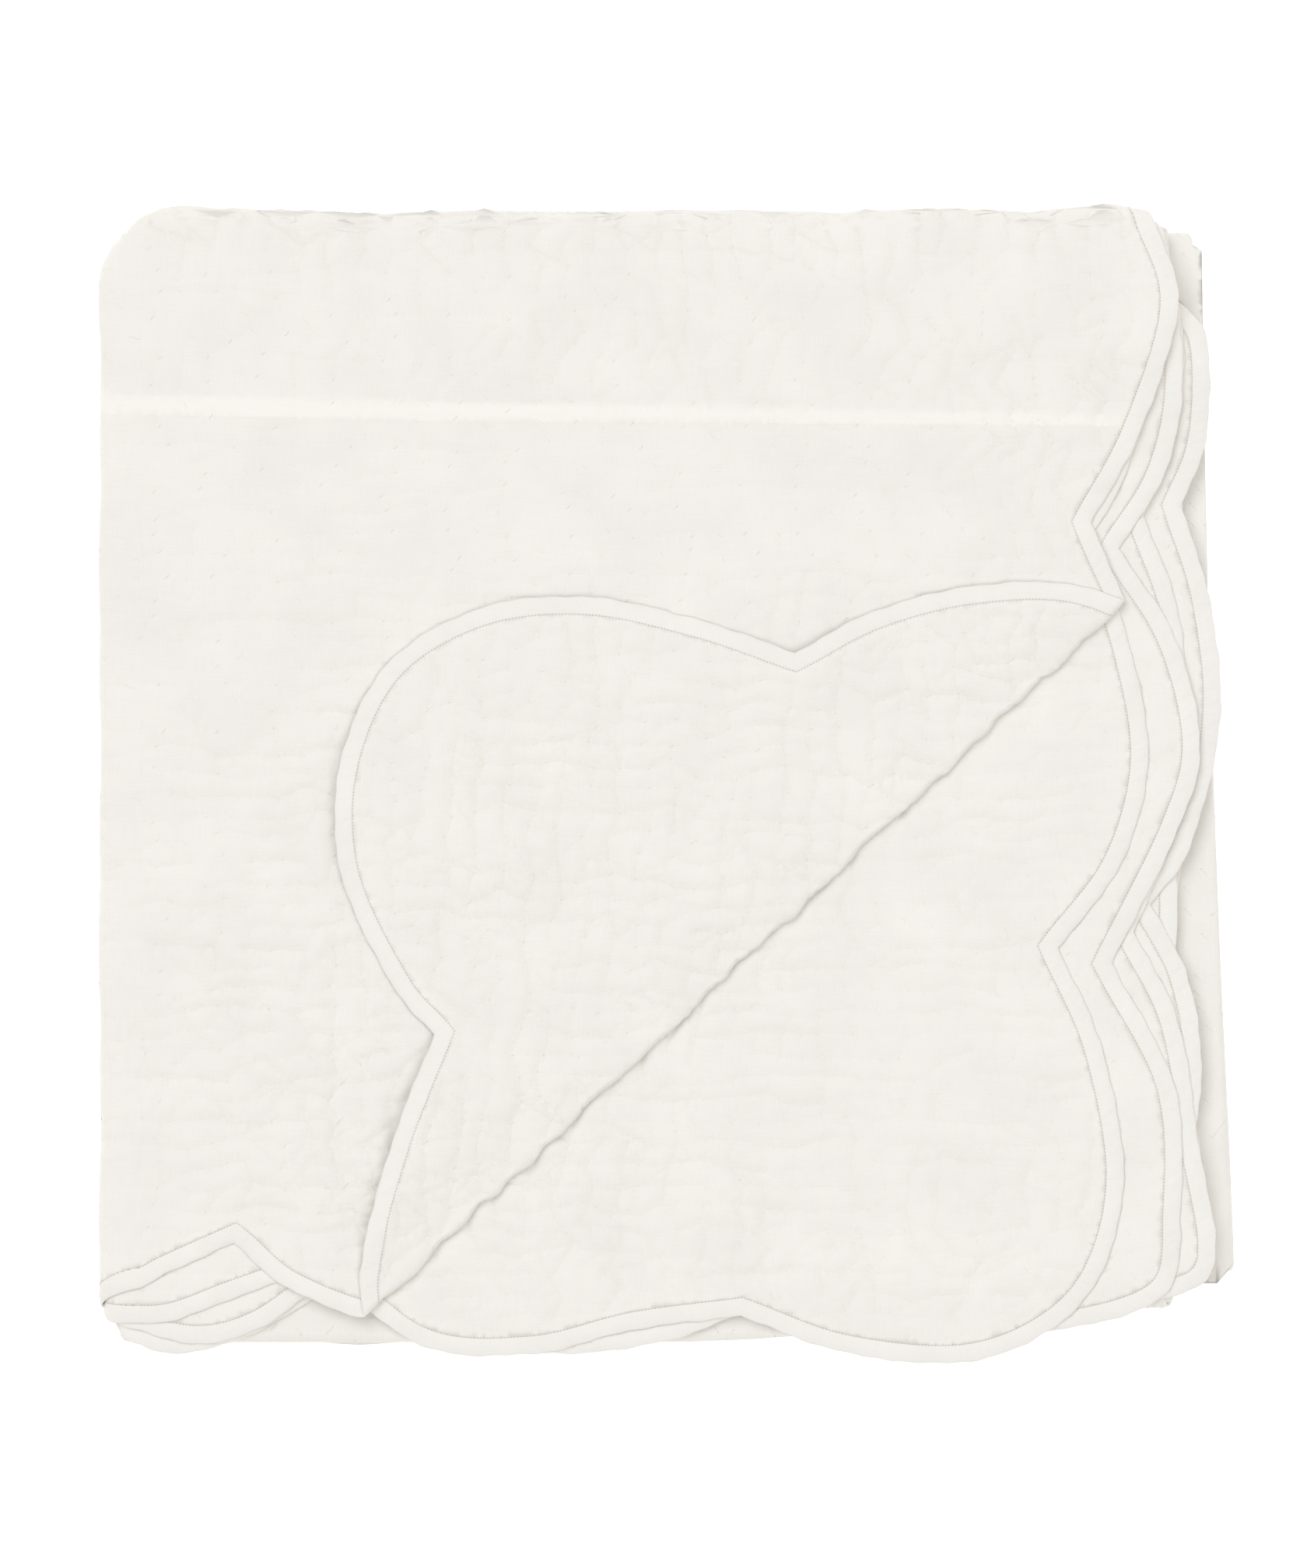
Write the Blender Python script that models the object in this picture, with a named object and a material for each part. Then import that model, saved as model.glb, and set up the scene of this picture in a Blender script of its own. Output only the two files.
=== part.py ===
"""Quilted bedspread, folded to a square pack with one corner of its top leaf turned back.

The spread is drawn flat, with its scalloped edge, and then folded: left half under, top half
under, top of that pack under, left of that pack under. Sixteen leaves lie on each other, and
the free corner of the top one is turned back over its own diagonal.
Lengths are in millimetres up to the last step. The pack's width runs along X, its height in
plan along Y, and it rests on z = 0.
"""

import math

import bmesh
import bpy

# Cloth
THICKNESS = 2.4
LEAF_PITCH = 3.0
BINDING_WIDTH = 9.6
SEAM_GAP = 0.35

# Folded pack, in plan
PACK_LEFT = -324.0
PACK_TOP = 331.5
SMOOTH_RIGHT = 318.0
SMOOTH_BOTTOM = -316.0

# Folds: the cloth's run round each roll, and how square the left roll's section is
LEAF_RUN = 6.0
DOUBLE_RUN = 9.0
TOP_RUN = 22.0
LEFT_RUN = 42.0
SQUARE_ROLL = 0.62

# Corner turned back: two points of its fold, the roll's height, and how it settles
FLAP_TOP = (263.0, 105.0)
FLAP_BOTTOM = (-180.0, -312.0)
FLAP_RUN = 7.2
FLAP_RISE = 3.4
FLAP_SETTLE = 75.0

# Unevenness of the pack
LOWER_LEAN = 11.0
LOWER_SHORT = 9.0
SMOOTH_RAISE = 20.0
LOWER_RAISE = 22.0
CORNER_ROUND = 20.0
CORNER_START = 285.0
CORNER_REACH = 45.0
TOP_DROOP = 0.16
DROOP_START = 285.0
DROOP_REACH = 60.0
SWELL = 0.012

# Scalloped edge where it is hidden
SCALLOP_PITCH = 242.0
SCALLOP_DEPTH = 36.0
SEEN_STEP = 27.0
HIDDEN_STEP = 55.0

# Mesh
WIDE_CELL = 145.0
QUILT_CELL_X = 27.0
QUILT_CELL_Y = 27.0
QUILT_PUFF = 0.5
QUILT_DIMPLE = 1.1
SMALL_ROLL_STEPS = 4
ROLL_STEPS = 6
SNAP = 0.05

# Each leaf's edge as it lies in the pack: (what the point is, x, y), in the order in which
# the edge of the flat spread passes it. A notch ends one scallop and starts the next.
TOP_LEAF = (
    ("notch", -470, -275), ("crest", -400, -311), ("crest", -330, -303), ("crest", -285, -281),
    ("notch", -247, -264), ("crest", -212, -292), ("crest", -150, -311), ("crest", -75, -299),
    ("notch", -5, -277), ("crest", 22, -303), ("crest", 83, -336), ("crest", 146, -341),
    ("crest", 206, -318), ("crest", 242, -267), ("crest", 253, -205), ("crest", 244, -140),
    ("notch", 228, -82), ("crest", 255, -37), ("crest", 273, 20), ("crest", 276, 84),
    ("notch", 249, 153), ("crest", 277, 205), ("crest", 299, 277), ("crest", 285, 326),
    ("notch", 250, 380),
)
SECOND_LEAF = (
    ("notch", 250, 147), ("crest", 273, 76), ("crest", 282, 14), ("crest", 266, -45),
    ("notch", 230, -93), ("crest", 255, -150), ("crest", 268, -224), ("crest", 255, -281),
    ("crest", 224, -315), ("crest", 174, -333), ("crest", 105, -327),
    ("notch", 46, -306), ("crest", -15, -314), ("crest", -75, -328), ("crest", -139, -323),
    ("notch", -197, -278), ("crest", -245, -295), ("crest", -290, -310), ("crest", -335, -304),
    ("notch", -375, -280),
)
THIRD_LEAF = (
    ("notch", -350, -285), ("crest", -312, -310), ("crest", -271, -322), ("crest", -232, -313),
    ("notch", -190, -283), ("crest", -130, -318), ("crest", -60, -328), ("crest", 5, -320),
    ("notch", 62, -298), ("crest", 150, -318), ("crest", 227, -315), ("crest", 291, -294),
    ("crest", 301, -243), ("crest", 297, -172),
    ("notch", 261, -102), ("crest", 300, -23), ("crest", 312, 27), ("crest", 297, 88),
    ("notch", 265, 138), ("crest", 291, 180), ("crest", 302, 234), ("crest", 294, 310),
    ("notch", 268, 376),
)
FOURTH_LEAF = (
    ("notch", 290, 318), ("crest", 303, 245),
    ("notch", 280, 157), ("crest", 300, 100), ("crest", 304, 37), ("crest", 295, -30),
    ("notch", 274, -84), ("crest", 299, -134), ("crest", 311, -205), ("crest", 318, -282),
    ("crest", 255, -300), ("crest", 150, -306),
    ("notch", 65, -290), ("crest", 5, -314), ("crest", -60, -321), ("crest", -125, -314),
    ("notch", -180, -283), ("crest", -235, -316), ("crest", -282, -328), ("crest", -318, -313),
    ("notch", -345, -288),
)
FIFTH_LEAF = (
    ("notch", 283, -303), ("crest", 305, -240), ("crest", 313, -170), ("crest", 305, -112),
    ("notch", 284, -68), ("crest", 307, -33), ("crest", 324, 39), ("crest", 318, 108),
    ("notch", 301, 163), ("crest", 314, 194), ("crest", 318, 232), ("crest", 314, 266),
    ("notch", 294, 286),
)

# Worked out from these
HALF_LEAF = LEAF_PITCH / 2
FOUR_LEAVES = 3.5 * LEAF_PITCH
EIGHT_LEAVES = 7.5 * LEAF_PITCH
PACK_LINE_X = PACK_LEFT + EIGHT_LEAVES
PACK_LINE_Y = PACK_TOP - FOUR_LEAVES
LEFT_FOLD = SMOOTH_RIGHT - PACK_LINE_X + LEFT_RUN
TOP_FOLD = PACK_LINE_Y - SMOOTH_BOTTOM + TOP_RUN
PACK_BASE = 15 * LEAF_PITCH + THICKNESS / 2
FLAP_LENGTH = math.dist(FLAP_TOP, FLAP_BOTTOM)
FLAP_OUT = ((FLAP_TOP[1] - FLAP_BOTTOM[1]) / FLAP_LENGTH, (FLAP_BOTTOM[0] - FLAP_TOP[0]) / FLAP_LENGTH)


def smooth_step(value):
    """Rises smoothly from 0 to 1 as value does."""
    value = min(max(value, 0.0), 1.0)
    return value * value * (3 - 2 * value)


def roll(past, radius, run, steps, squareness=1.0):
    """Where cloth past a fold line lands: its new place past the line, and over the roll's axis.

    The roll's section is a half round in straight steps, so that leaves nest without touching.
    """
    if past <= 0:
        return past, radius
    if past >= run:
        return run - past, -radius
    before = min(int(past / run * steps), steps - 1)
    share = past / run * steps - before
    landed = height = 0
    for step, weight in ((before, 1 - share), (before + 1, share)):
        turn = math.pi * step / steps
        landed += weight * math.sin(turn) ** squareness
        height += weight * math.copysign(abs(math.cos(turn)) ** squareness, math.cos(turn))
    return radius * landed, radius * height


def flap_distance(x, y):
    """How far a point of the top leaf lies past the fold of its corner, on the flat spread."""
    start_x = FLAP_TOP[0] - PACK_LINE_X + LEFT_FOLD
    start_y = FLAP_TOP[1] - PACK_LINE_Y - TOP_FOLD
    return (x - start_x) * FLAP_OUT[0] + (y - start_y) * FLAP_OUT[1]


def turn_back(x, y, z):
    """Folds the corner of the top leaf up and back over its diagonal, and lets it settle."""
    past = flap_distance(x, y)
    landed, height = roll(past, FLAP_RISE - z, FLAP_RUN, SMALL_ROLL_STEPS)
    if past > FLAP_RUN:
        height += (2 * FLAP_RISE - LEAF_PITCH) * smooth_step((past - FLAP_RUN) / FLAP_SETTLE)
    return x + (landed - past) * FLAP_OUT[0], y + (landed - past) * FLAP_OUT[1], FLAP_RISE - height


def fold(x, y, z):
    """Takes a point of the flat spread through its folds. The top leaf stays at z = 0."""
    if x > 0 > y:
        x, y, z = turn_back(x, y, z)
    landed, height = roll(-x, z + HALF_LEAF, LEAF_RUN, SMALL_ROLL_STEPS)
    x, z = -landed, height - HALF_LEAF
    landed, height = roll(y, z + 3 * HALF_LEAF, DOUBLE_RUN, SMALL_ROLL_STEPS)
    y, z = landed, height - 3 * HALF_LEAF
    landed, height = roll(y + TOP_FOLD, z + FOUR_LEAVES, TOP_RUN, ROLL_STEPS)
    y, z = landed - TOP_FOLD, height - FOUR_LEAVES
    landed, height = roll(LEFT_FOLD - x, z + EIGHT_LEAVES, LEFT_RUN, ROLL_STEPS, SQUARE_ROLL)
    return LEFT_FOLD - landed, y, height - EIGHT_LEAVES


def settle(x, y, z):
    """Makes the folded pack as uneven as it lies, with its underside kept flat on z = 0."""
    x += PACK_LINE_X - LEFT_FOLD
    y += PACK_LINE_Y + TOP_FOLD
    z += PACK_BASE
    lower = 1 - smooth_step((z / LEAF_PITCH - 7.45) / 0.6)
    under = 1 - smooth_step((z / LEAF_PITCH - 11.45) / 0.6)
    x -= lower * LOWER_LEAN * smooth_step((x + 150) / 400) * y / 300
    y -= lower * LOWER_SHORT * smooth_step((y - 120) / 190) * smooth_step((x + 300) / 450)
    low_right = smooth_step(x / 300) * smooth_step((-y - 60) / 240)
    y += low_right * (SMOOTH_RAISE * under + LOWER_RAISE * lower)
    top_left = smooth_step((y - DROOP_START) / 60) * smooth_step((-x - CORNER_START) / CORNER_REACH)
    x += CORNER_ROUND * 0.5 * top_left ** 2
    y -= CORNER_ROUND * top_left ** 2
    swell = SWELL * math.sin(x / 95 + 0.6) * math.cos(y / 120 - 0.4)
    droop = TOP_DROOP * smooth_step((y - DROOP_START) / DROOP_REACH)
    return x, y, z * (1 + swell - droop)


def flat_place(leaf, x, y):
    """Where a point seen on a leaf of the pack lies on the flat spread."""
    x += LEFT_FOLD - PACK_LINE_X
    y -= PACK_LINE_Y + TOP_FOLD
    if leaf == "fifth":
        y = TOP_RUN - 2 * TOP_FOLD - y
    if leaf in ("third", "fourth", "fifth"):
        y = DOUBLE_RUN - y
    if leaf in ("second", "third"):
        x = -LEAF_RUN - x
    return x, y


def smooth_points(points, step):
    """Points about a step apart on a Catmull-Rom curve through the given ones, without the last."""
    ends = [[2 * points[0][i] - points[1][i] for i in (0, 1)],
            [2 * points[-1][i] - points[-2][i] for i in (0, 1)]]
    knots = [ends[0], *points, ends[1]]
    result = []
    for a, b, c, d in zip(knots, knots[1:], knots[2:], knots[3:]):
        count = max(1, round(math.dist(b, c) / step))
        for number in range(count):
            t = number / count
            result.append(tuple(
                0.5 * (2 * b[i] + (c[i] - a[i]) * t
                       + (2 * a[i] - 5 * b[i] + 4 * c[i] - d[i]) * t ** 2
                       + (3 * b[i] - a[i] - 3 * c[i] + d[i]) * t ** 3)
                for i in (0, 1)))
    return result


def leaf_edge(leaf, rows):
    """The seen scallops of one leaf, on the flat spread."""
    points = [(kind, flat_place(leaf, x, y)) for kind, x, y in rows]
    notches = [number for number, row in enumerate(points) if row[0] == "notch"]
    result = []
    for first, last in zip(notches, notches[1:]):
        result += smooth_points([place for kind, place in points[first:last + 1]], SEEN_STEP)
    return result + [points[-1][1]]


def plain_edge(start, end):
    """Even scallops between two notches, along the hidden edge, without its two ends."""
    span = math.dist(start, end)
    count = max(1, round(span / SCALLOP_PITCH))
    steps = round(span / count / HIDDEN_STEP) + 1
    depth = SCALLOP_DEPTH * min(1, span / SCALLOP_PITCH) ** 2
    along = ((end[0] - start[0]) / span, (end[1] - start[1]) / span)
    result = []
    for number in range(1, count * steps):
        part = number / steps
        bulge = depth * math.sin(math.pi * (part % 1)) ** 0.8
        distance = part * span / count
        result.append((start[0] + along[0] * distance + along[1] * bulge,
                       start[1] + along[1] * distance - along[0] * bulge))
    return result


def spread_outline():
    """The whole scalloped outline of the flat spread, counterclockwise."""
    sides = [leaf_edge("top", TOP_LEAF), leaf_edge("fifth", FIFTH_LEAF),
             leaf_edge("fourth", FOURTH_LEAF), leaf_edge("third", THIRD_LEAF),
             leaf_edge("second", SECOND_LEAF)]
    outline = []
    for side, following in zip(sides, sides[1:] + sides[:1]):
        outline += side + plain_edge(side[-1], following[0])
    return outline


def inset(outline, distance):
    """The outline moved inwards, mitred at its notches."""
    result = []
    for before, here, after in zip(outline[-1:] + outline[:-1], outline, outline[1:] + outline[:1]):
        first = math.atan2(here[1] - before[1], here[0] - before[0])
        turn = math.remainder(math.atan2(after[1] - here[1], after[0] - here[0]) - first, math.tau)
        reach = distance / math.cos(turn / 2)
        inwards = first + turn / 2 + math.pi / 2
        result.append((here[0] + reach * math.cos(inwards), here[1] + reach * math.sin(inwards)))
    return result


def cut(sheet, axis, place, inside):
    """Cuts the flat sheet's faces whose middles pass the test, along a line of one coordinate."""
    faces = [face for face in sheet.faces if inside(*face.calc_center_median().xy)]
    parts = {part for face in faces for part in (face, *face.edges, *face.verts)}
    point = [0, 0, 0]
    normal = [0, 0, 0]
    point[axis] = place
    normal[axis] = 1
    bmesh.ops.bisect_plane(sheet, geom=list(parts), dist=SNAP, plane_co=point, plane_no=normal)


def cut_flap_fold(sheet):
    """Cuts the top leaf along the fold of its turned-back corner."""
    start = flat_place("top", *FLAP_TOP)
    settled = [FLAP_RUN + FLAP_SETTLE * part for part in (0.25, 0.5, 0.75, 1)]
    places = [FLAP_RUN * step / SMALL_ROLL_STEPS for step in range(SMALL_ROLL_STEPS + 1)]
    for past in places + settled:
        faces = [face for face in sheet.faces
                 if face.calc_center_median().x > LEFT_FOLD and face.calc_center_median().y < -TOP_FOLD]
        parts = {part for face in faces for part in (face, *face.edges, *face.verts)}
        point = (start[0] + FLAP_OUT[0] * past, start[1] + FLAP_OUT[1] * past, 0)
        bmesh.ops.bisect_plane(sheet, geom=list(parts), dist=SNAP, plane_co=point, plane_no=(*FLAP_OUT, 0))


def everywhere(x, y):
    return True


def cut_folds(sheet):
    """Cuts the flat sheet along every line where it bends."""
    for step in range(SMALL_ROLL_STEPS + 1):
        part = step / SMALL_ROLL_STEPS
        cut(sheet, 0, -LEAF_RUN * part, everywhere)
        cut(sheet, 1, DOUBLE_RUN * part, everywhere)
    droop = PACK_LINE_Y - DROOP_START
    for place in (-droop, TOP_RUN + droop):
        cut(sheet, 1, place - TOP_FOLD, everywhere)
        cut(sheet, 1, DOUBLE_RUN + TOP_FOLD - place, everywhere)
    corner = LEFT_FOLD - PACK_LINE_X - CORNER_START
    cut(sheet, 0, corner, everywhere)
    cut(sheet, 0, -LEAF_RUN - corner, everywhere)
    for step in range(ROLL_STEPS + 1):
        part = step / ROLL_STEPS
        left = LEFT_FOLD - LEFT_RUN * part
        top = TOP_RUN * part - TOP_FOLD
        cut(sheet, 0, left, everywhere)
        cut(sheet, 0, -LEAF_RUN - left, everywhere)
        cut(sheet, 1, top, everywhere)
        cut(sheet, 1, DOUBLE_RUN - top, everywhere)
    cut_flap_fold(sheet)


def cut_cells(sheet, width, height):
    """Cuts wide cells all over, and quilting cells on the leaf that is seen."""
    def on_top(x, y):
        return x > LEFT_FOLD and y < -TOP_FOLD

    for axis, reach in ((0, width), (1, height)):
        count = math.ceil(reach / WIDE_CELL)
        for number in range(-count, count + 1):
            cut(sheet, axis, (number + 0.5) * WIDE_CELL, lambda x, y: not on_top(x, y))
    for number in range(1, math.ceil((width - LEFT_FOLD) / QUILT_CELL_X)):
        cut(sheet, 0, LEFT_FOLD + number * QUILT_CELL_X, on_top)
    for number in range(1, math.ceil((height - TOP_FOLD) / QUILT_CELL_Y)):
        cut(sheet, 1, -TOP_FOLD - number * QUILT_CELL_Y, on_top)


def quilt_relief(x, y):
    """How the stitching raises the two faces of the sheet at a point, in a staggered pattern."""
    column = (x - LEFT_FOLD) / QUILT_CELL_X
    row = (-TOP_FOLD - y) / QUILT_CELL_Y
    if column < 0.5 or row < 0.5:
        return 0.0, 0.0
    unevenness = 0.75 + 0.25 * math.sin(2.3 * column + 1.7 * row) * math.sin(1.1 * column - 2.9 * row)
    drawn_in = 0.5 - 0.5 * unevenness * math.cos(math.pi * column) * math.cos(math.pi * row)
    relief = QUILT_PUFF - (QUILT_PUFF + QUILT_DIMPLE) * drawn_in
    past = flap_distance(x, y)
    if 0 < past < FLAP_RUN:
        return 0.0, 0.0
    return (0.0, relief) if past > 0 else (relief, 0.0)


def make_object(name, sheet, quilted, colour, roughness):
    """Gives the flat sheet its thickness, folds it, and makes it one closed body."""
    bmesh.ops.triangulate(sheet, faces=sheet.faces[:])
    body = bmesh.new()
    faces_up = []
    faces_down = []
    for vertex in sheet.verts:
        x, y = vertex.co.xy
        over, below = quilt_relief(x, y) if quilted and not vertex.is_boundary else (0.0, 0.0)
        for corners, height in ((faces_up, THICKNESS / 2 + over), (faces_down, -THICKNESS / 2 - below)):
            place = settle(*fold(x, y, height))
            corners.append(body.verts.new([value / 1000 for value in place]))
    sheet.verts.index_update()
    for face in sheet.faces:
        order = [vertex.index for vertex in face.verts]
        body.faces.new([faces_up[index] for index in order])
        body.faces.new([faces_down[index] for index in reversed(order)])
        for loop in face.loops:
            if loop.edge.is_boundary:
                start = loop.vert.index
                end = loop.link_loop_next.vert.index
                body.faces.new((faces_up[end], faces_up[start], faces_down[start], faces_down[end]))
    bmesh.ops.triangulate(body, faces=body.faces[:])
    mesh = bpy.data.meshes.new(name)
    body.to_mesh(mesh)
    body.free()
    sheet.free()
    mesh.shade_smooth()
    mesh.set_sharp_from_angle(angle=math.radians(50))
    material = bpy.data.materials.new(name)
    material.use_nodes = True
    shader = material.node_tree.nodes["Principled BSDF"]
    shader.inputs["Base Color"].default_value = (*colour, 1)
    shader.inputs["Roughness"].default_value = roughness
    shader.inputs["Metallic"].default_value = 0
    mesh.materials.append(material)
    made = bpy.data.objects.new(name, mesh)
    bpy.context.scene.collection.objects.link(made)


def upright(sheet):
    """Turns every face of the flat sheet to look up."""
    for face in sheet.faces:
        face.normal_update()
        if face.normal.z < 0:
            face.normal_flip()


def make_panel(outline):
    """The quilted panel: face, wadding and back stitched into one thickness."""
    edge = inset(outline, BINDING_WIDTH + SEAM_GAP)
    sheet = bmesh.new()
    sheet.faces.new([sheet.verts.new((x, y, 0)) for x, y in edge])
    upright(sheet)
    cut_folds(sheet)
    cut_cells(sheet, max(x for x, y in edge), max(y for x, y in edge))
    make_object("quilted_panel", sheet, True, (0.89, 0.86, 0.81), 0.9)


def make_binding(outline):
    """The binding: one strip all round the scalloped edge."""
    sheet = bmesh.new()
    outer = [sheet.verts.new((x, y, 0)) for x, y in outline]
    inner = [sheet.verts.new((x, y, 0)) for x, y in inset(outline, BINDING_WIDTH)]
    for number in range(len(outer)):
        sheet.faces.new((outer[number - 1], outer[number], inner[number], inner[number - 1]))
    upright(sheet)
    cut_folds(sheet)
    make_object("edge_binding", sheet, False, (0.91, 0.89, 0.85), 0.85)


def main():
    for thing in list(bpy.data.objects):
        bpy.data.objects.remove(thing)
    outline = spread_outline()
    make_panel(outline)
    make_binding(outline)


main()
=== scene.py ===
"""The looks of the folded quilted bedspread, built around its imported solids.

The cloth is drawn flat, with every puckered stitch of its quilting, and then taken through the
same folds as the solids. Lengths are in millimetres until a mesh is made. On the flat spread the
top leaf is the corner with x > 0 > y, and "pack" places are those of the folded pack seen from above.
"""

import math

import bpy
import numpy as np
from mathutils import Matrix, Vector
from mathutils.geometry import delaunay_2d_cdt


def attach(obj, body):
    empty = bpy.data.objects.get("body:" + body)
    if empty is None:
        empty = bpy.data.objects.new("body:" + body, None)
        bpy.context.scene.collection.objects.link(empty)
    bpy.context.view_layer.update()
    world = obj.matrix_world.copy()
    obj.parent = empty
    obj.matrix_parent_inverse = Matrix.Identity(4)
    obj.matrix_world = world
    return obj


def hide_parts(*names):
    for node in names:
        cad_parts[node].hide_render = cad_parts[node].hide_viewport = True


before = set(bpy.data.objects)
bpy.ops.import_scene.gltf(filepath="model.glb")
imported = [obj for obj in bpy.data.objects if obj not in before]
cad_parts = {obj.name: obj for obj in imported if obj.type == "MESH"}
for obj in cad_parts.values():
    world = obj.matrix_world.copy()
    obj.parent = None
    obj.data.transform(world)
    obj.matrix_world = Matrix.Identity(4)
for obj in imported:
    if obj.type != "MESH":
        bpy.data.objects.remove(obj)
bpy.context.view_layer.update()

# Cloth
THICKNESS = 2.4
LEAF_PITCH = 3.0
BINDING_WIDTH = 10.3
EDGE_HALF = 1.08
EDGE_DROP = 0.5

# Folded pack, in plan
PACK_LEFT = -324.0
PACK_TOP = 331.5
SMOOTH_RIGHT = 318.0
SMOOTH_BOTTOM = -316.0

# Folds: the cloth's run round each roll, the steps it is drawn in, and the left roll's squareness
LEAF_RUN, LEAF_STEPS = 6.0, 6
DOUBLE_RUN, DOUBLE_STEPS = 9.0, 8
TOP_RUN, TOP_STEPS = 22.0, 14
LEFT_RUN, LEFT_STEPS = 42.0, 18
SQUARE_ROLL = 0.62

# Corner turned back
FLAP_TOP = (263.0, 105.0)
FLAP_BOTTOM = (-180.0, -312.0)
FLAP_RUN, FLAP_STEPS = 4.8, 8
FLAP_RISE = 1.4
FLAP_SHARPNESS = 1.6
FLAP_PINCH = 0.35
FLAP_SETTLE = 75.0

# Unevenness of the pack
LOWER_LEAN = 11.0
LOWER_SHORT = 9.0
LOWER_ROUND = 11.0
LOWER_DRAW = 2.0
LOWER_LEAVES, UNDER_LEAVES, LEAF_BLEND = 7.45, 12.0, 0.6
HALF_WAY_UP = 8.3
LEAF_COUNT_SHIFT = 0.4
SMOOTH_RAISE = 20.0
LOWER_RAISE = 22.0
CORNER_ROUND = 42.0
CORNER_START = 285.0
TOP_DROOP = 0.16
DROOP_START = 285.0
DROOP_REACH = 60.0
SWELL = 0.012

# Scalloped edge
SCALLOP_PITCH = 242.0
SCALLOP_DEPTH = 36.0
SEEN_STEP = 3.0
HIDDEN_STEP = 12.0
ROLL_STEP = 2.0
TURNED_STEP = 0.9

# The binding's section, from the edge over to the seam: (distance in from the edge, height)
BINDING_PROFILE = ((0.0, 0.0), (0.35, 0.4), (1.0, 0.74), (2.2, 1.05), (4.2, 1.27), (6.4, 1.32),
                   (8.8, 1.27), (9.8, 1.16), (10.5, 0.9))

# Quilting
PUFF = 0.75
DIMPLE = 0.9
CREASE_WIDTH = 0.9
PUFF_WIDTH = 4.6
PUFF_SPACING = 4.9
CREASE_SPACING = 3.2
HIDDEN_SPACING = 40.0
LINE_SPACING = 4.0
PITCH, FLAP_PITCH = (17.0, 12.6), (12.8, 16.0)
STITCH_LENGTH, STITCH_WIDTH = 5.2, 0.55
STITCHED = 0.8
DEEPEST = -1.5
CALM_BELOW = 30.0
LEAST_APART = 1.15
FAR = 40.0

# The scallops of each leaf's edge as it lies in the pack, in the order in which the edge of the flat
# spread passes them. Each scallop starts at its notch, and the last row is the notch at the end.
TOP_LEAF = (
    ((-470, -275), (-400, -311), (-330, -303), (-285, -281)),
    ((-247, -264), (-212, -292), (-150, -311), (-75, -299)),
    ((-5, -277), (22, -303), (83, -336), (146, -341), (206, -318), (242, -267), (253, -205), (244, -140)),
    ((228, -82), (255, -37), (273, 20), (276, 84)), ((249, 153), (277, 205), (299, 277), (285, 326)),
    ((250, 380),),
)
SECOND_LEAF = (
    ((250, 147), (273, 76), (282, 14), (266, -45)),
    ((230, -93), (255, -150), (268, -224), (255, -281), (224, -315), (174, -333), (105, -327)),
    ((46, -306), (-15, -314), (-75, -328), (-139, -323)),
    ((-197, -278), (-245, -295), (-290, -310), (-335, -304)), ((-375, -280),),
)
THIRD_LEAF = (
    ((-350, -285), (-312, -310), (-271, -322), (-232, -313)),
    ((-190, -283), (-130, -318), (-60, -328), (5, -320)),
    ((62, -298), (150, -318), (227, -315), (291, -294), (301, -243), (297, -172)),
    ((261, -102), (300, -23), (312, 27), (297, 88)), ((265, 138), (291, 180), (302, 234), (294, 310)),
    ((268, 376),),
)
FOURTH_LEAF = (
    ((290, 318), (303, 245)), ((280, 157), (300, 100), (304, 37), (295, -30)),
    ((274, -84), (299, -134), (311, -205), (318, -282), (255, -300), (150, -306)),
    ((65, -290), (5, -314), (-60, -321), (-125, -314)),
    ((-180, -283), (-235, -316), (-282, -328), (-318, -313)), ((-345, -288),),
)
FIFTH_LEAF = (
    ((283, -303), (305, -240), (313, -170), (305, -112)), ((284, -68), (307, -33), (324, 39), (318, 108)),
    ((301, 163), (314, 194), (318, 232), (314, 266)), ((294, 286),),
)

# Where the turned-back corner stands off the leaf below: (x, y, height, how far round)
FLAP_LIFTS = (
    (-184, -10, 4.0, 60), (-150, -190, 6.5, 60), (-175, -270, 4.0, 40), (80, 78, 4.0, 35),
    (-60, 90, 2.5, 60), (200, 95, 2.0, 50),
)

# How strongly the quilting puckers, in the pack: (x, y, reach x, reach y, along rows, across rows)
TOP_PUCKERS = (
    (0, 0, 900, 900, 0.58, 0.48), (-250, -100, 120, 200, 0.35, 0.05), (-215, -200, 80, 120, 0.25, 0.35),
    (-172, -215, 26, 90, 0.45, 0.9), (230, 200, 60, 90, 0.0, 0.6), (60, 250, 330, 45, -0.15, 0.5),
    (-60, 326, 420, 24, 0.2, 1.5), (90, 100, 90, 30, 0.1, 0.3), (-150, 60, 60, 80, 0.15, 0.1),
)
FLAP_PUCKERS = (
    (0, 0, 900, 900, 0.75, 0.75), (-150, -200, 60, 100, 0.4, 0.0), (-80, -40, 120, 120, 0.2, 0.1),
    (150, 80, 120, 50, 0.0, 0.2),
    *((x, y, 35, 35, 0.3, 0.6) for x, y in ((205, 50), (140, -10), (75, -70), (10, -132), (-55, -193))),
    (-120, -254, 35, 35, 0.3, 0.4),
)
SECOND_PUCKERS = (
    (0, 0, 900, 900, 0.75, 0.5), (60, -270, 260, 60, 0.1, 0.4), (230, -180, 50, 120, 0.0, 0.35),
    (0, -140, 60, 60, 0.1, 0.45), (130, 0, 60, 60, 0.1, 0.45), (65, -75, 50, 50, 0.1, 0.45),
    (-70, -210, 60, 50, 0.1, 0.45),
)
OTHER_PUCKERS = ((0, 0, 900, 900, 0.45, 0.4), (300, 0, 60, 400, 0.1, 0.4))

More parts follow.
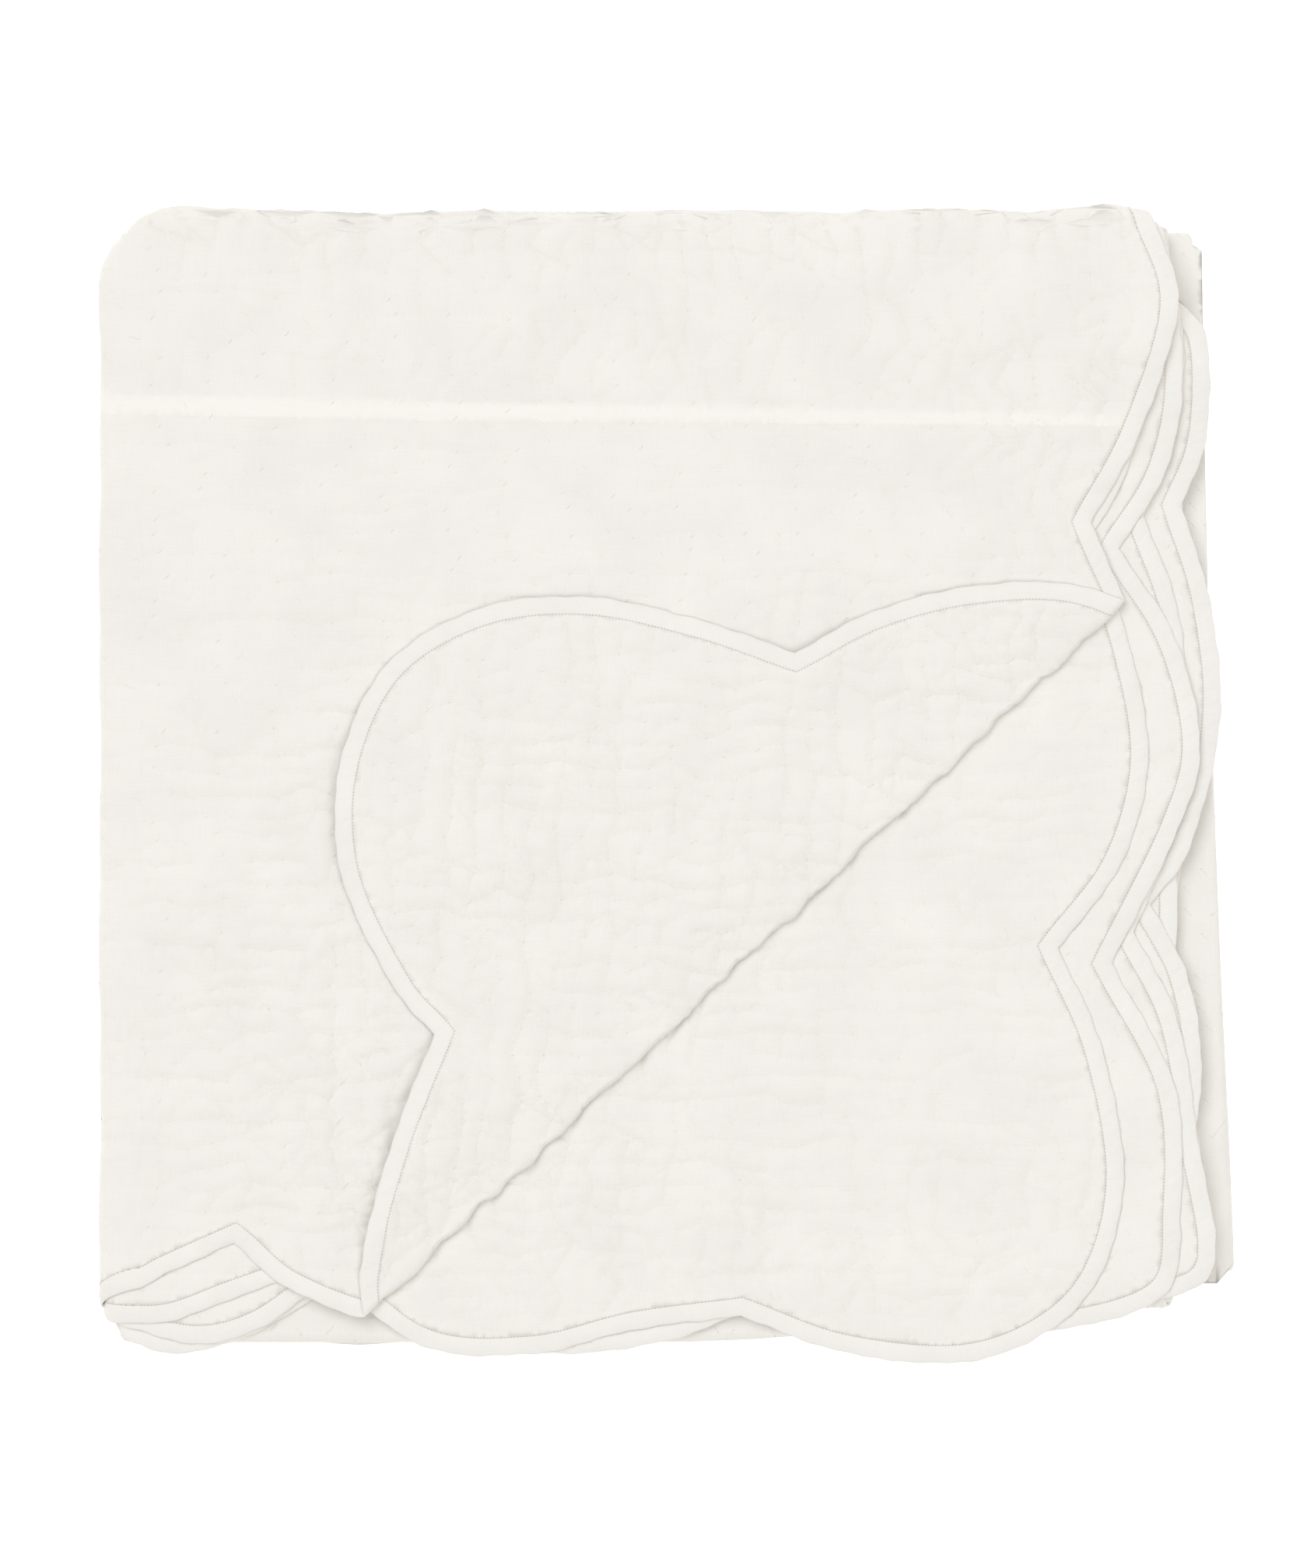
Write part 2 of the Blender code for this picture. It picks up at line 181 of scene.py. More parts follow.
# The join across the top leaf, in the pack: its seam, and the edge of the allowance under it
JOIN_SEAM = ((-330, 215.6), (-130, 211.5), (203, 209), (275, 208))
JOIN_ALLOWANCE = ((-330, 227.8), (-130, 222.7), (203, 216.5), (268, 215))

# Soft troughs and ridges of the top leaf, in the pack: (x, y to x, y, reach, depth)
TOP_TROUGHS = (
    (-186, -90, -178, -265, 7, 1.0), (-206, -130, -200, -285, 6, 0.7), (-226, -170, -222, -280, 6, 0.4),
    (-197, -120, -190, -280, 5, -0.4), (-182, -60, -188, 40, 6, 0.5), (150, 270, 152, 150, 4, 0.35),
    (176, 285, 180, 140, 4, 0.45), (205, 290, 206, 170, 4, 0.5), (232, 285, 226, 190, 4, 0.4),
    (100, 230, 96, 120, 4, 0.3), (-320, 180, -180, 172, 5, 0.25), (-322, 90, -190, 96, 5, 0.3),
    (-322, 30, -200, 22, 5, 0.3), (-322, -50, -200, -44, 5, 0.35), (-322, -110, -215, -118, 5, 0.35),
    (-320, -180, -220, -172, 5, 0.4), (-40, 290, -48, 150, 5, 0.3), (30, 290, 36, 170, 4, 0.3),
    (-120, 290, -112, 190, 4, 0.25), (-222, 290, -228, 240, 4, 0.3),
)
FLAP_TROUGHS = (
    (-50, 38, 10, 36, 6, 0.7), (-172, -60, -150, -120, 6, 0.6), (-20, 60, -60, -20, 5, 0.4),
    (60, 40, 20, -30, 5, 0.4), (-128, -150, -122, -240, 4, 0.7), (-136, -165, -130, -235, 4, 0.6),
    (-115, -140, -106, -185, 4, 0.6), (-92, -120, -84, -170, 4, 0.5), (-60, -120, -40, -150, 4, 0.5),
    (130, 85, 150, 60, 4, 0.4), (180, 95, 200, 75, 4, 0.4), (-150, 30, -60, 44, 5, 0.35),
    (-140, -20, -40, -12, 5, 0.35), (40, 0, 70, 30, 4, 0.4), (-5, -40, 25, -15, 4, 0.4),
)
SECOND_TROUGHS = (
    (-60, -160, -30, -120, 5, 0.5), (-20, -120, 5, -85, 5, 0.5), (60, -50, 80, -20, 5, 0.5),
    (20, -150, 200, -140, 5, 0.35), (-60, -220, 120, -228, 5, 0.35), (60, -190, 230, -196, 5, 0.3),
    (140, 10, 165, 45, 5, 0.5), (190, -20, 200, -120, 5, 0.4), (-90, -260, 60, -264, 5, 0.35),
)

# Worked out from these
HALF_LEAF = LEAF_PITCH / 2
FOUR_LEAVES = 3.5 * LEAF_PITCH
EIGHT_LEAVES = 7.5 * LEAF_PITCH
PACK_LINE_X = PACK_LEFT + EIGHT_LEAVES
PACK_LINE_Y = PACK_TOP - FOUR_LEAVES
LEFT_FOLD = SMOOTH_RIGHT - PACK_LINE_X + LEFT_RUN
TOP_FOLD = PACK_LINE_Y - SMOOTH_BOTTOM + TOP_RUN
PACK_BASE = 15 * LEAF_PITCH + THICKNESS / 2
FLAP_LENGTH = math.dist(FLAP_TOP, FLAP_BOTTOM)
FLAP_OUT = ((FLAP_TOP[1] - FLAP_BOTTOM[1]) / FLAP_LENGTH, (FLAP_BOTTOM[0] - FLAP_TOP[0]) / FLAP_LENGTH)


def smooth_step(value):
    """Rises smoothly from 0 to 1 as value does."""
    value = np.clip(value, 0.0, 1.0)
    return value * value * (3 - 2 * value)


def grid(xs, ys):
    """The points of a grid, as two flat arrays."""
    x, y = np.meshgrid(xs, ys)
    return x.ravel(), y.ravel()


def steps_along(line):
    """The length of each step round a closed line, and how far round each one begins and the last ends."""
    span = np.hypot(*(np.roll(line, -1, 0) - line).T)
    return span, np.concatenate([[0], np.cumsum(span)])


def roll(past, radius, run, squareness=1.0):
    """Where cloth past a fold line lands: its new place past the line, and over the roll's axis."""
    turn = np.pi * np.clip(past / run, 0, 1)
    across = np.clip(np.sin(turn), 0, 1) ** squareness
    height = np.sign(np.cos(turn)) * np.abs(np.cos(turn)) ** squareness
    return radius * across + np.minimum(past, 0) - np.maximum(past - run, 0), radius * height


def to_pack(x, y):
    """Plan of the top leaf in the pack, from the flat spread."""
    return x + PACK_LINE_X - LEFT_FOLD, y + PACK_LINE_Y + TOP_FOLD


def flap_distance(x, y):
    """How far a point of the top leaf lies past the fold of its corner, on the flat spread."""
    pack_x, pack_y = to_pack(x, y)
    return (pack_x - FLAP_TOP[0]) * FLAP_OUT[0] + (pack_y - FLAP_TOP[1]) * FLAP_OUT[1]


def turn_back(x, y, z):
    """Folds the corner of the top leaf up and back over its diagonal, and lets it settle."""
    along = x * FLAP_OUT[1] - y * FLAP_OUT[0]
    waver = 0.9 * np.sin(along / 5.6 + 2 * np.sin(along / 31)) + 0.8 * np.sin(along / 17 + 1)
    past = flap_distance(x, y)
    past = past + waver * np.exp(-(past / 25) ** 2)
    z = z * (1 - FLAP_PINCH * np.exp(-((past - FLAP_RUN / 2) / 8) ** 2))
    landed, height = roll(past, FLAP_RISE - z, FLAP_RUN, FLAP_SHARPNESS)
    over = past > FLAP_RUN
    height += over * (2 * FLAP_RISE - LEAF_PITCH) * smooth_step((past - FLAP_RUN) / FLAP_SETTLE)
    x = x + (landed - past) * FLAP_OUT[0]
    y = y + (landed - past) * FLAP_OUT[1]
    pack_x, pack_y = to_pack(x, y)
    for spot_x, spot_y, lift, reach in FLAP_LIFTS:
        away = np.hypot(pack_x - spot_x, pack_y - spot_y) / reach
        height -= over * lift * smooth_step((past - FLAP_RUN) / 40) * np.exp(-away ** 2)
    return x, y, FLAP_RISE - height


def fold(x, y, z):
    """Takes points of the flat spread through its folds. The top leaf stays at z = 0."""
    on_top = (x > 0) & (y < 0)
    turned = turn_back(x, y, z)
    x, y, z = (np.where(on_top, new, old) for new, old in zip(turned, (x, y, z)))
    landed, height = roll(-x, z + HALF_LEAF, LEAF_RUN)
    x, z = -landed, height - HALF_LEAF
    landed, height = roll(y, z + 3 * HALF_LEAF, DOUBLE_RUN)
    y, z = landed, height - 3 * HALF_LEAF
    landed, height = roll(y + TOP_FOLD, z + FOUR_LEAVES, TOP_RUN)
    y, z = landed - TOP_FOLD, height - FOUR_LEAVES
    landed, height = roll(LEFT_FOLD - x, z + EIGHT_LEAVES, LEFT_RUN, SQUARE_ROLL)
    return LEFT_FOLD - landed, y, height - EIGHT_LEAVES


def rounded(size, beside, beyond):
    """How far a rounded corner draws places in, across and down, from how near they are to its sides."""
    beside, beyond = (np.clip(near / size, 0, 1.1) for near in (beside, beyond))
    return (size * beside * (1 - np.sqrt(1 - beyond * beyond / 2)),
            size * beyond * (1 - np.sqrt(1 - beside * beside / 2)))


def settle(x, y, z, middle):
    """Makes the folded pack as uneven as it lies, with its underside kept flat on z = 0.
    The leaf that a point belongs to is told from the height of the cloth's middle there."""
    x, y = to_pack(x, y)
    z = z + PACK_BASE
    leaf = (middle + PACK_BASE) / LEAF_PITCH + LEAF_COUNT_SHIFT
    lower = 1 - smooth_step((leaf - LOWER_LEAVES) / LEAF_BLEND)
    under = 1 - smooth_step((leaf - UNDER_LEAVES) / LEAF_BLEND)
    below = leaf < HALF_WAY_UP
    x = x - lower * LOWER_LEAN * smooth_step((x + 150) / 400) * y / 300
    y = y - below * LOWER_SHORT * smooth_step((y - 120) / 190) * smooth_step((x + 300) / 450)
    low_right = smooth_step(x / 300) * smooth_step((-y - 60) / 240)
    y = y + low_right * (SMOOTH_RAISE * under + LOWER_RAISE * lower)
    across, down = rounded(CORNER_ROUND, PACK_LEFT + CORNER_ROUND - x, y - PACK_TOP + CORNER_ROUND)
    x, y = x + across, y - down
    near_top = smooth_step((y - 295) / 35)
    bumps_up = 1.1 + 0.8 * np.sin(x / 21 + np.sin(x / 53)) + 0.7 * np.sin(x / 8.3 + 2 * np.sin(x / 19))
    bumps_up += 4.5 * np.exp(-((x - 256) / 22) ** 2) + 2.2 * np.exp(-((x + 280) / 28) ** 2)
    y = y + near_top * np.where(below, -LOWER_DRAW, bumps_up)
    x = x + (1 - lower) * (0.5 * np.sin(y / 31 + 1) + 0.4 * np.sin(y / 12)) * smooth_step((-x - 295) / 25)
    across, down = rounded(LOWER_ROUND, x - SMOOTH_RIGHT + LOWER_DRAW + LOWER_ROUND,
                           below * (y - PACK_TOP + LOWER_SHORT + LOWER_DRAW + LOWER_ROUND))
    x, y = x - across, y - down
    swell = SWELL * np.sin(x / 95 + 0.6) * np.cos(y / 120 - 0.4)
    z = z + (1 - lower) * 0.5 * (np.sin(x / 33 + np.sin(y / 47)) * np.sin(y / 39 + 0.8) + 1)
    droop = TOP_DROOP * smooth_step((y - DROOP_START) / DROOP_REACH)
    return np.stack([x, y, np.maximum(z * (1 + swell - droop), 0)], 1)


def fold_up(x, y, z):
    """Where points of the flat spread lie in the pack."""
    return settle(*fold(x, y, z), fold(x, y, np.zeros(len(x)))[2])


def flat_place(leaf, x, y):
    """Where a point seen on a leaf of the pack lies on the flat spread."""
    x += LEFT_FOLD - PACK_LINE_X
    y -= PACK_LINE_Y + TOP_FOLD
    if leaf == "fifth":
        y = TOP_RUN - 2 * TOP_FOLD - y
    if leaf in ("third", "fourth", "fifth"):
        y = DOUBLE_RUN - y
    if leaf in ("second", "third"):
        x = -LEAF_RUN - x
    return x, y


def smooth_points(points, step):
    """Points about a step apart on a Catmull-Rom curve through the given ones, without the last."""
    points = np.array(points)
    knots = [2 * points[0] - points[1], *points, 2 * points[-1] - points[-2]]
    result = []
    for a, b, c, d in zip(knots, knots[1:], knots[2:], knots[3:]):
        count = max(1, round(math.dist(b, c) / step))
        for number in range(count):
            t = number / count
            result.append(0.5 * (2 * b + (c - a) * t + (2 * a - 5 * b + 4 * c - d) * t ** 2
                                 + (3 * b - a - 3 * c + d) * t ** 3))
    return result


def leaf_edge(leaf, scallops):
    """The seen scallops of one leaf, on the flat spread."""
    rows = [[flat_place(leaf, x, y) for x, y in scallop] for scallop in scallops]
    result = []
    for points, following in zip(rows, rows[1:]):
        result += smooth_points(points + following[:1], SEEN_STEP)
    return result + rows[-1]


def plain_edge(start, end):
    """Even scallops between two notches, along the hidden edge, without its two ends."""
    span = math.dist(start, end)
    count = max(1, round(span / SCALLOP_PITCH))
    steps = round(span / count / HIDDEN_STEP) + 1
    depth = SCALLOP_DEPTH * min(1, span / SCALLOP_PITCH) ** 2
    along = (np.array(end) - start) / span
    result = []
    for number in range(1, count * steps):
        part = number / steps
        bulge = depth * math.sin(math.pi * (part % 1)) ** 0.8
        result.append(start + along * (part * span / count) + np.array([along[1], -along[0]]) * bulge)
    return result


def spread_outline():
    """The whole scalloped outline of the flat spread, counterclockwise."""
    sides = [leaf_edge(*leaf) for leaf in (("top", TOP_LEAF), ("fifth", FIFTH_LEAF), ("fourth", FOURTH_LEAF),
                                           ("third", THIRD_LEAF), ("second", SECOND_LEAF))]
    outline = []
    for side, following in zip(sides, sides[1:] + sides[:1]):
        outline += side + plain_edge(side[-1], following[0])
    return np.array(outline)


def straight_folds():
    """Every line along which the flat spread bends: (axis, place)."""
    steps = lambda count: [step / count for step in range(count + 1)]
    xs = [-LEAF_RUN * part for part in steps(LEAF_STEPS)]
    ys = [DOUBLE_RUN * part for part in steps(DOUBLE_STEPS)]
    for part in steps(LEFT_STEPS):
        xs += [LEFT_FOLD - LEFT_RUN * part, -LEAF_RUN - LEFT_FOLD + LEFT_RUN * part]
    for part in steps(TOP_STEPS):
        ys += [TOP_RUN * part - TOP_FOLD, DOUBLE_RUN - TOP_RUN * part + TOP_FOLD]
    for reach in (8, 18, 30, PACK_LINE_Y - DROOP_START):
        for place in (-reach, TOP_RUN + reach):
            ys += [place - TOP_FOLD, DOUBLE_RUN + TOP_FOLD - place]
    corner = LEFT_FOLD - PACK_LINE_X - CORNER_START
    xs += [corner, -LEAF_RUN - corner]
    for reach in (5, 10, 18):
        xs += [reach, -LEAF_RUN - reach]
    return [(0, x) for x in xs] + [(1, y) for y in ys]


def refine(outline):
    """Puts more points on the outline where it passes round a roll."""
    rolls = ((0, -LEAF_RUN, 0), (0, LEFT_FOLD - LEFT_RUN, LEFT_FOLD),
             (0, -LEAF_RUN - LEFT_FOLD, LEFT_RUN - LEAF_RUN - LEFT_FOLD), (1, 0, DOUBLE_RUN),
             (1, -TOP_FOLD, TOP_RUN - TOP_FOLD),
             (1, DOUBLE_RUN + TOP_FOLD - TOP_RUN, DOUBLE_RUN + TOP_FOLD))
    result = []
    for start, end in zip(outline, np.roll(outline, -1, 0)):
        span = np.hypot(*(end - start))
        near = any(min(start[axis], end[axis]) < high + 2 and max(start[axis], end[axis]) > low - 2
                   for axis, low, high in rolls)
        turned = top_patch(*start) and -6 < flap_distance(*start) < FLAP_RUN + 6
        step = TURNED_STEP if turned else ROLL_STEP
        count = max(1, round(span / step)) if (near or turned) and span > 1.5 * step else 1
        result += [start + (end - start) * number / count for number in range(count)]
    return np.array(result)


def mitres(outline):
    """For each point of the outline, the way inwards, as long as an inset of 1 mm needs."""
    ahead = np.roll(outline, -1, 0) - outline
    first = np.arctan2(*np.roll(ahead, 1, 0).T[::-1])
    turn = np.angle(np.exp(1j * (np.arctan2(*ahead.T[::-1]) - first)))
    inwards = first + turn / 2 + np.pi / 2
    return np.stack([np.cos(inwards), np.sin(inwards)], 1) / np.cos(turn / 2)[:, None]


def points_inside(x, y, ring):
    """Which points lie within a ring."""
    inside = np.zeros(len(x), bool)
    for (ax, ay), (bx, by) in zip(ring, np.roll(ring, -1, 0)):
        if ay != by:
            beside = (y < ay) != (y < by)
            inside ^= beside & (x < ax + (bx - ax) * (y - ay) / (by - ay))
    return inside


def by_cell(points):
    """The numbers of the points that lie in each square of a coarse grid."""
    cells = {}
    for number, key in enumerate(map(tuple, np.floor(points / FAR).astype(int))):
        cells.setdefault(key, []).append(number)
    return cells


def distance_to_ring(x, y, ring):
    """How far each point lies from a ring, or FAR."""
    spots = []
    for start, end in zip(ring, np.roll(ring, -1, 0)):
        count = max(1, math.ceil(np.hypot(*(end - start)) / 1.5))
        spots += [start + (end - start) * number / count for number in range(count)]
    spots = np.array(spots)
    cells = by_cell(spots)
    result = np.full(len(x), FAR)
    for (column, row), members in by_cell(np.stack([x, y], 1)).items():
        around = [(column + i, row + j) for i in (-1, 0, 1) for j in (-1, 0, 1)]
        near = [number for key in around for number in cells.get(key, [])]
        if near:
            away = np.hypot(x[members][:, None] - spots[near, 0], y[members][:, None] - spots[near, 1])
            result[members] = np.minimum(result[members], away.min(1))
    return result


def top_patch(x, y):
    """Whether a place is on the top leaf or its rolls."""
    return (x > LEFT_FOLD - LEFT_RUN) & (y < TOP_RUN - TOP_FOLD)


def second_patch(x, y):
    """Whether a place is on the second leaf or its rolls."""
    return (x < LEFT_RUN - LEFT_FOLD) & (y < TOP_RUN - TOP_FOLD)


class Seen:
    """The highest cloth at each place of the pack."""

    CELL = 4.0
    REACH = 360.0

    def __init__(self, outline):
        low, high = outline.min(0), outline.max(0)
        x, y = grid(np.arange(low[0], high[0], 3.0), np.arange(low[1], high[1], 3.0))
        inside = points_inside(x, y, outline[::3])
        count = int(2 * self.REACH / self.CELL)
        self.top = np.full((count, count), -1.0)
        for side in (-1, 1):
            place = fold_up(x[inside], y[inside], np.full(inside.sum(), side * THICKNESS / 2))
            column, row = self.cell(place)
            np.maximum.at(self.top, (column, row), place[:, 2])
        padded = np.pad(self.top, 1, mode="edge")
        around = [padded[i:i + count, j:j + count] for i in (0, 1, 2) for j in (0, 1, 2)]
        self.least = np.min(around, 0)

    def cell(self, place):
        spot = np.clip((place[:, :2] + self.REACH) / self.CELL, 0, 2 * self.REACH / self.CELL - 1)
        return spot.astype(int).T

    def test(self, x, y, side, rolls=True):
        """Which points of a face show from above, and with rolls also those that show from the side."""
        place = fold_up(x, y, np.full(len(x), side * THICKNESS / 2))
        column, row = self.cell(place)
        above = place[:, 2] > self.least[column, row] - 1.9
        if not rolls:
            return above
        rolled = (side > 0) & (y < 0) & (
            ((x > LEFT_FOLD - LEFT_RUN) & (x < LEFT_FOLD) & (y < -TOP_FOLD))
            | ((y > -TOP_FOLD) & (y < TOP_RUN - TOP_FOLD) & (x > 0)))
        past = flap_distance(x, y)
        rolled |= (side < 0) & top_patch(x, y) & (past > -2) & (past < FLAP_RUN + 2)
        return above | rolled


def bumps(x, y, rows):
    """Sum of soft spots over the pack, for each column of values of a table of them."""
    total = [np.zeros(len(x)) for value in rows[0][4:]]
    for spot_x, spot_y, reach_x, reach_y, *values in rows:
        share = np.exp(-(((x - spot_x) / reach_x) ** 2 + ((y - spot_y) / reach_y) ** 2))
        for number, value in enumerate(values):
            total[number] += value * share
    return total


def wander(x, y):
    """How far the lines of the quilting stray from straight rows."""
    over = 1.5 * np.sin(y / 9.5 + 1.7 * np.sin(x / 31)) + 1.1 * np.sin(x / 14 + y / 23 + 1)
    up = 1.3 * np.sin(x / 10.5 + 1.9 * np.sin(y / 27)) + 1.0 * np.sin(y / 15 - x / 21)
    over += 0.6 * np.sin(y / 3.0 + 2 * np.sin(x / 7))
    up += 0.6 * np.sin(x / 3.2 + 2 * np.sin(y / 8))
    return over, up


def unwander(points):
    """The place whose quilting has strayed to the given one."""
    result = points.copy()
    for attempt in range(9):
        result = points - np.stack(wander(*result.T), 1)
    return result


def streaks(rng, count, axis, length):
    """Random values from 0 to 1 that keep up for some steps along one axis."""
    noise = rng.uniform(-1, 1, count)
    total = sum(np.roll(noise, step, axis) for step in range(length)) / math.sqrt(length)
    return np.clip(0.5 + 0.6 * total, 0, 1)


def segment_distance(x, y, start_x, start_y, end_x, end_y):
    """How far points are from a segment, and how far along it they lie."""
    run_x, run_y = end_x - start_x, end_y - start_y
    part = ((x - start_x) * run_x + (y - start_y) * run_y) / (run_x ** 2 + run_y ** 2)
    nearest = np.clip(part, 0, 1)
    return np.hypot(x - start_x - nearest * run_x, y - start_y - nearest * run_y), part


class Quilting:
    """A lattice of stitches on one face of the spread, and the puckers that join them."""

    def __init__(self, seed, side, pitch, rows, troughs, inside):
        rng = np.random.default_rng(seed)
        self.side = side
        self.pitch = pitch
        self.inside = inside
        self.troughs = troughs
        self.low = np.array([-1300.0, -1400.0])
        count = (int(2600 / pitch[0]), int(2800 / pitch[1]))
        column, row = np.meshgrid(np.arange(count[0]), np.arange(count[1]), indexing="ij")
        shift = rng.uniform(-0.3, 0.3, count[1])[None, :]
        self.x = self.low[0] + (column + shift + rng.uniform(-0.26, 0.26, count)) * pitch[0]
        self.y = self.low[1] + (row + rng.uniform(-0.24, 0.24, count)) * pitch[1]
        self.kind = rng.uniform(0, 1, count)
        place = fold_up(self.x.ravel(), self.y.ravel(), np.full(self.x.size, side * THICKNESS / 2))
        along, across = [total.reshape(count) for total in bumps(place[:, 0], place[:, 1], rows)]
        self.along = along * self.mix(rng, count, 0, 5)
        self.across = across * self.mix(rng, count, 1, 4)
        self.rising = 0.7 * np.maximum(along, across) * (rng.uniform(0, 1, count) < 0.16)
        self.falling = 0.7 * np.maximum(along, across) * (rng.uniform(0, 1, count) < 0.16)
        self.local = np.clip(0.15 + 0.62 * (along + across), 0, 1.4)
        self.dimple = 0.35 * (self.kind < STITCHED)

    @staticmethod
    def mix(rng, count, axis, length):
        """Strengths that keep up for some stitches along one axis, with gaps."""
        kept = rng.uniform(0, 1, count) > 0.08
        return kept * (0.45 + 0.85 * streaks(rng, count, axis, length) ** 1.3) * rng.uniform(0.7, 1.2, count)

    def sets(self):
        """The puckers by the neighbour that each leads to."""
        return ((self.along, 1, 0), (self.across, 0, 1), (self.rising, 1, 1), (self.falling, 1, -1))

    def edges(self):
        """Every pucker between two neighbouring stitches: its two ends and its weight."""
        spot = np.stack([self.x, self.y], -1)
        rows = []
        for weights, di, dj in self.sets():
            there = np.roll(spot, (-di, -dj), (0, 1))
            rows.append((spot[1:-1, 1:-1], there[1:-1, 1:-1], weights[1:-1, 1:-1]))
        return [np.concatenate([row[i].reshape(-1, *row[i].shape[2:]) for row in rows]) for i in (0, 1, 2)]

    def pull(self, x, y):
        """How far each point is drawn in, how near the bottom of a pucker, and how puffy it is."""
        over, up = wander(x, y)
        x, y = x + over, y + up
        column = np.floor((x - self.low[0]) / self.pitch[0]).astype(int)
        row = np.floor((y - self.low[1]) / self.pitch[1]).astype(int)
        most = np.zeros(len(x))
        line = np.zeros(len(x))
        last = (self.x.shape[0] - 2, self.x.shape[1] - 2)
        for weights, step_i, step_j in self.sets():
            for di in (-2, -1, 0, 1):
                for dj in (-2, -1, 0, 1, 2):
                    i = np.clip(column + di, 1, last[0])
                    j = np.clip(row + dj, 1, last[1])
                    mine = np.nonzero(weights[i, j] > 0.03)[0]
                    i, j = i[mine], j[mine]
                    ax, ay = self.x[i, j], self.y[i, j]
                    bx, by = self.x[i + step_i, j + step_j], self.y[i + step_i, j + step_j]
                    px, py = x[mine] - ax, y[mine] - ay
                    bx, by = bx - ax, by - ay
                    part = np.clip((px * bx + py * by) / (bx ** 2 + by ** 2), 0, 1)
                    away = np.hypot(px - part * bx, py - part * by)
                    weight = weights[i, j]
                    fall = np.exp(-away / CREASE_WIDTH) + np.exp(-(away / PUFF_WIDTH) ** 2)
                    most[mine] = np.maximum(most[mine], weight * 0.5 * fall)
                    # How near the line of a pucker: the amount of painted shade there.
                    line[mine] = np.maximum(line[mine], weight * np.exp(-(away / 0.7) ** 2))
        deepest = np.zeros(len(x))
        for di in (-1, 0, 1, 2):
            for dj in (-1, 0, 1, 2):
                i = np.clip(column + di, 0, last[0])
                j = np.clip(row + dj, 0, last[1])
                away = np.hypot(x - self.x[i, j], y - self.y[i, j])
                deepest = np.maximum(deepest, self.dimple[i, j] * np.exp(-(away / 2.6) ** 2))
        i = np.clip(column, 0, last[0])
        j = np.clip(row, 0, last[1])
        return np.clip(most, 0, 1.3), np.clip(line, 0, 1.3), self.local[i, j], deepest

    def height(self, x, y):
        """How far the cloth stands out from its middle thickness, and the painted shade along each pucker."""
        most, line, local, deepest = self.pull(x, y)
        height = local * (PUFF - (PUFF + DIMPLE) * most) - deepest
        place = fold_up(x, y, np.full(len(x), self.side * THICKNESS / 2))
        for start_x, start_y, end_x, end_y, reach, depth in self.troughs:
            away, part = segment_distance(*place[:, :2].T, start_x, start_y, end_x, end_y)
            ends = smooth_step(3 * part + 0.6) * smooth_step(3.6 - 3 * part)
            height -= depth * np.exp(-(away / reach) ** 2) * ends
        calm = smooth_step((place[:, 2] - CALM_BELOW) / 4) * smooth_step((np.abs(x + LEAF_RUN / 2) - 3) / 6)
        calm *= smooth_step((np.abs(y - DOUBLE_RUN / 2) - 5) / 8)
        return np.maximum(height, DEEPEST) * calm, line * np.clip(local, 0, 1) * calm


def crease_points(quilting, seen):
    """Points on and beside every pucker that shows."""
    start, end, weight = quilting.edges()
    middle = unwander((start + end) / 2)
    keep = quilting.inside(*middle.T) & (weight > 0.3) & seen.test(*middle.T, quilting.side)
    start, end, weight = start[keep], end[keep], weight[keep]
    span = end - start
    length = np.hypot(*span.T)
    normal = np.stack([-span[:, 1], span[:, 0]], 1) / length[:, None]
    centre = []
    beside = []
    for a, along, size, out, strong in zip(start, span, length, normal, weight > 0.42):
        count = max(2, round(size / CREASE_SPACING))
        for step in range(count):
            centre.append(a + along * step / count)
            if step % 2 and strong:
                beside += [a + along * step / count + 1.5 * out, a + along * step / count - 1.5 * out]
    return unwander(np.array(centre + beside))


def puff_points(quilting, seen):
    """Points of a staggered grid over all the cloth of one face that shows."""
    xs = np.arange(-1300, 1300, PUFF_SPACING)
    ys = np.arange(-1400, 1400, PUFF_SPACING * 0.87)
    x, y = grid(xs, ys)
    x = x + PUFF_SPACING / 2 * np.repeat(np.arange(len(ys)) % 2, len(xs))
    keep = quilting.inside(x, y) & seen.test(x, y, quilting.side)
    return np.stack([x[keep], y[keep]], 1)


def thin_out(points, least):
    """Drops points that come too near an earlier one."""
    for shift in (0.0, 0.5):
        cells = np.floor(points / least + shift).astype(np.int64)
        keys = cells[:, 0] * 1000003 + cells[:, 1]
        keep = np.sort(np.unique(keys, return_index=True)[1])
        points = points[keep]
    return points


def snap_to_folds(points, folds):
    """Moves points that lie within a roll onto the nearest of its lines."""
    past = flap_distance(*points.T)
    points = points[~(top_patch(*points.T) & (past > -1.6) & (past < FLAP_RUN + 1.6))]
    for axis in (0, 1):
        lines = np.sort([place for fold_axis, place in folds if fold_axis == axis])
        nearest = np.searchsorted(lines, points[:, axis])
        below = lines[np.clip(nearest - 1, 0, len(lines) - 1)]
        above = lines[np.clip(nearest, 0, len(lines) - 1)]
        line = np.where(points[:, axis] - below < above - points[:, axis], below, above)
        close = (above > below) & (above - below < 4.5) | (np.abs(points[:, axis] - line) < 0.7)
        points[:, axis] = np.where(close, line, points[:, axis])
    return points


def line_points(folds, seen, side):
    """Points along every straight bending line, close together where it shows outside a roll."""
    along = np.arange(-1396, 1400, LINE_SPACING)
    wide = np.arange(len(along)) % 9 == 0
    rows = []
    for axis, place in folds:
        level = np.full(len(along), place)
        line = np.stack([along, level] if axis else [level, along], 1)
        alone = min(abs(place - other) for other_axis, other in folds
                    if other_axis == axis and other != place) > 3
        shows = seen.test(*line.T, side, rolls=False) if alone else False
        rows.append(line[shows | wide])
    return np.concatenate(rows)


